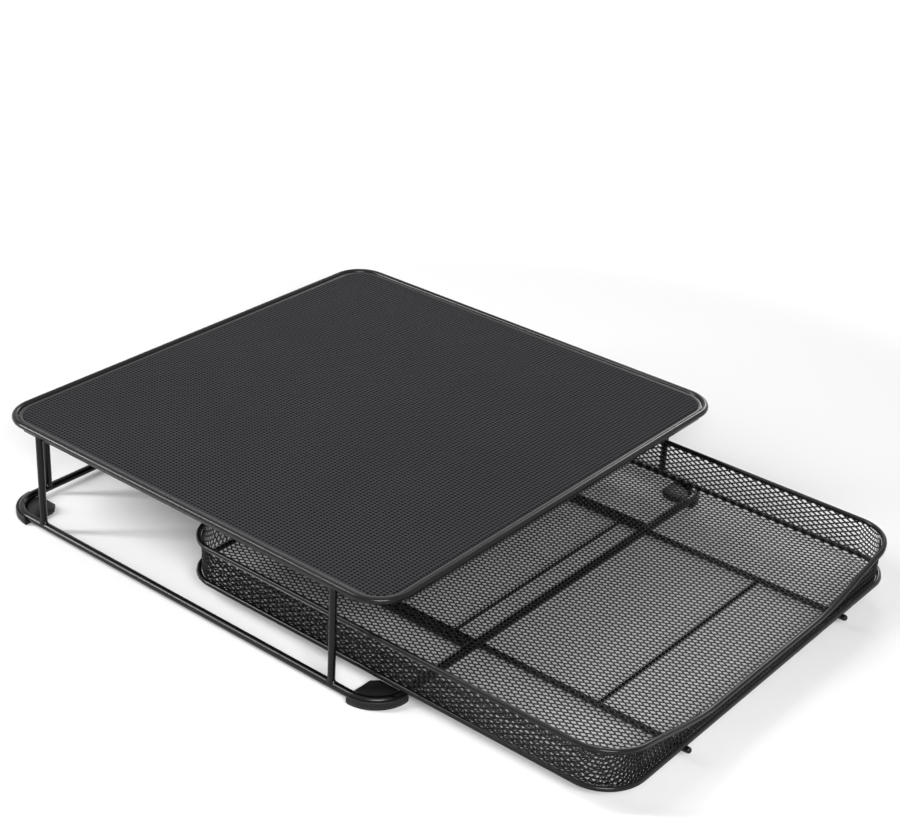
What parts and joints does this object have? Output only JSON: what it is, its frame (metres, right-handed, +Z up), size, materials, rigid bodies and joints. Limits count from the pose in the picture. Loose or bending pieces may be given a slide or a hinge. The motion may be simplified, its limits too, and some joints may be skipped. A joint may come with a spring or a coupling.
{
  "type": "coffee pod drawer",
  "caption": "Low wire stand with a non-slip platform for a coffee machine and a shallow mesh drawer for coffee pods that slides out from under it.",
  "frame": {"origin": "on the table, under the middle of the whole object's box with the drawer part open as modelled", "axes": "+Z up, +X to the right seen from the front, -Y towards the user, the way the drawer opens"},
  "size_m": [0.353, 0.4864, 0.075],
  "materials": {
    "powder_coat_wire": "black satin powder coat on steel wire",
    "powder_coat_mesh": "black satin powder coat on expanded steel mesh",
    "mat_rubber": "dark grey, with a fine square grid of small dimples",
    "foot_plastic": "black moulded plastic",
    "pad_rubber": "black"
  },
  "bodies": {
    "stand": {"top_mat": "mat_rubber", "top_panel": "powder_coat_wire", "top_rim": "powder_coat_wire", "frame_wire_left": "powder_coat_wire", "frame_wire_right": "powder_coat_wire", "frame_wire_front": "powder_coat_wire", "frame_wire_back": "powder_coat_wire", "support_wire_front": "powder_coat_wire", "support_wire_middle": "powder_coat_wire", "support_wire_back": "powder_coat_wire", "leg_left_front": "powder_coat_wire", "leg_left_back": "powder_coat_wire", "leg_right_front": "powder_coat_wire", "leg_right_back": "powder_coat_wire", "leg_back_left": "powder_coat_wire", "leg_back_right": "powder_coat_wire", "base_wire_left": "powder_coat_wire", "base_wire_right": "powder_coat_wire", "base_wire_front": "powder_coat_wire", "base_wire_back": "powder_coat_wire", "base_bend_front_left": "powder_coat_wire", "base_bend_front_right": "powder_coat_wire", "base_bend_back_left": "powder_coat_wire", "base_bend_back_right": "powder_coat_wire", "foot_front_left": "foot_plastic", "foot_front_right": "foot_plastic", "foot_back_left": "foot_plastic", "foot_back_right": "foot_plastic", "pad_front_left": "pad_rubber", "pad_front_right": "pad_rubber", "pad_back_left": "pad_rubber", "pad_back_right": "pad_rubber", "rail_left": "powder_coat_wire", "rail_right": "powder_coat_wire"},
    "drawer": {"drawer_floor": "powder_coat_mesh", "drawer_wall_left": "powder_coat_mesh", "drawer_wall_right": "powder_coat_mesh", "drawer_wall_front": "powder_coat_mesh", "drawer_wall_back": "powder_coat_mesh", "drawer_corner_front_left": "powder_coat_mesh", "drawer_corner_front_right": "powder_coat_mesh", "drawer_corner_back_left": "powder_coat_mesh", "drawer_corner_back_right": "powder_coat_mesh", "drawer_rim_left": "powder_coat_wire", "drawer_rim_right": "powder_coat_wire", "drawer_rim_front": "powder_coat_wire", "drawer_rim_back": "powder_coat_wire", "drawer_rim_swoop_left": "powder_coat_wire", "drawer_rim_swoop_right": "powder_coat_wire", "drawer_rim_bend_left": "powder_coat_wire", "drawer_rim_bend_right": "powder_coat_wire", "drawer_base_ring": "powder_coat_wire", "runner_left": "powder_coat_wire", "runner_right": "powder_coat_wire", "cross_wire_front": "powder_coat_wire", "cross_wire_middle": "powder_coat_wire", "cross_wire_back": "powder_coat_wire"}
  },
  "joints": [
    {"name": "drawer_slide", "type": "slide", "parent": "stand", "child": "drawer", "axis": [0, -1, 0], "range_m": [-0.144, 0.12]}
  ]
}
